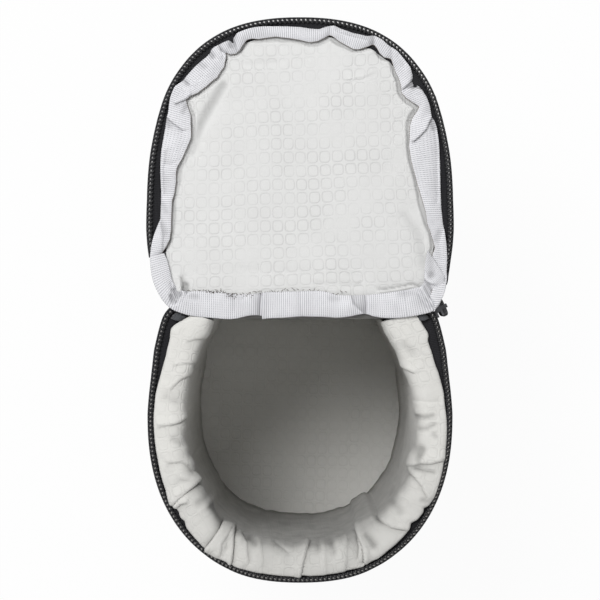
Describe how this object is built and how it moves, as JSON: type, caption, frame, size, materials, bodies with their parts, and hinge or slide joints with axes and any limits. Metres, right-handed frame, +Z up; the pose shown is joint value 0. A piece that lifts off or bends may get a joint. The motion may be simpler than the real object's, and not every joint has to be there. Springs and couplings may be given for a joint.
{
  "type": "lens pouch",
  "caption": "Padded cloth pouch for one camera lens, zipped round the rim, lid folded back, with a belt tab on its back.",
  "frame": {"origin": "middle of the pouch's flat underside", "axes": "+Z up out of the mouth, +Y towards the back with the hinge, the folded-back lid and the belt tab, +X to the right seen from the front"},
  "size_m": [0.1104, 0.2049, 0.1437],
  "materials": {
    "outer_cloth": "charcoal woven polyester, matt",
    "foam": "gray open-cell padding",
    "lid_lining": "pale gray lining with an embossed grid",
    "wall_lining": "pale gray brushed lining",
    "binding": "pale gray ribbed grosgrain tape",
    "zip_tape": "black zip tape, herringbone weave",
    "zip_coil": "black nylon coil, semi-gloss",
    "end_tab": "dark gray woven cloth",
    "webbing": "black ribbed webbing",
    "touch_fastener": "black hook and loop",
    "black_metal": "black lacquered zinc, satin",
    "grip_rubber": "black moulded rubber, matt"
  },
  "bodies": {
    "pouch": {"base_panel": "outer_cloth", "base_foam": "foam", "base_lining": "wall_lining", "base_piping": "outer_cloth", "side_panel": "outer_cloth", "side_foam": "foam", "side_lining": "wall_lining", "back_panel": "outer_cloth", "back_foam": "foam", "back_lining": "wall_lining", "zip_tape_body": "zip_tape", "zip_coil_body": "zip_coil", "zip_end_left": "end_tab", "zip_end_right": "end_tab", "hinge_strip": "outer_cloth", "hem_binding": "binding", "zip_slider": "black_metal", "tab_anchor": "webbing", "loop_patch": "touch_fastener"},
    "lid": {"lid_panel": "outer_cloth", "lid_foam": "foam", "lid_lining": "lid_lining", "zip_coil_lid": "zip_coil", "zip_tape_lid": "zip_tape", "lid_binding": "binding"},
    "pull": {"pull_tab": "black_metal", "pull_grip": "grip_rubber"},
    "tab": {"belt_tab": "webbing", "hook_patch": "touch_fastener"}
  },
  "joints": [
    {"name": "lid_hinge", "type": "hinge", "parent": "pouch", "child": "lid", "pos_m": [0, 0.05125, 0.142], "axis": [1, 0, 0], "range_deg": [0, 180]},
    {"name": "pull_swing", "type": "hinge", "parent": "pouch", "child": "pull", "pos_m": [0.05197, 0.04872, 0.13695], "axis": [0.4226, -0.9063, 0], "range_deg": [0, 150]},
    {"name": "tab_peel", "type": "hinge", "parent": "pouch", "child": "tab", "pos_m": [0, 0.0519, 0.108], "axis": [1, 0, 0], "range_deg": [0, 85]}
  ]
}
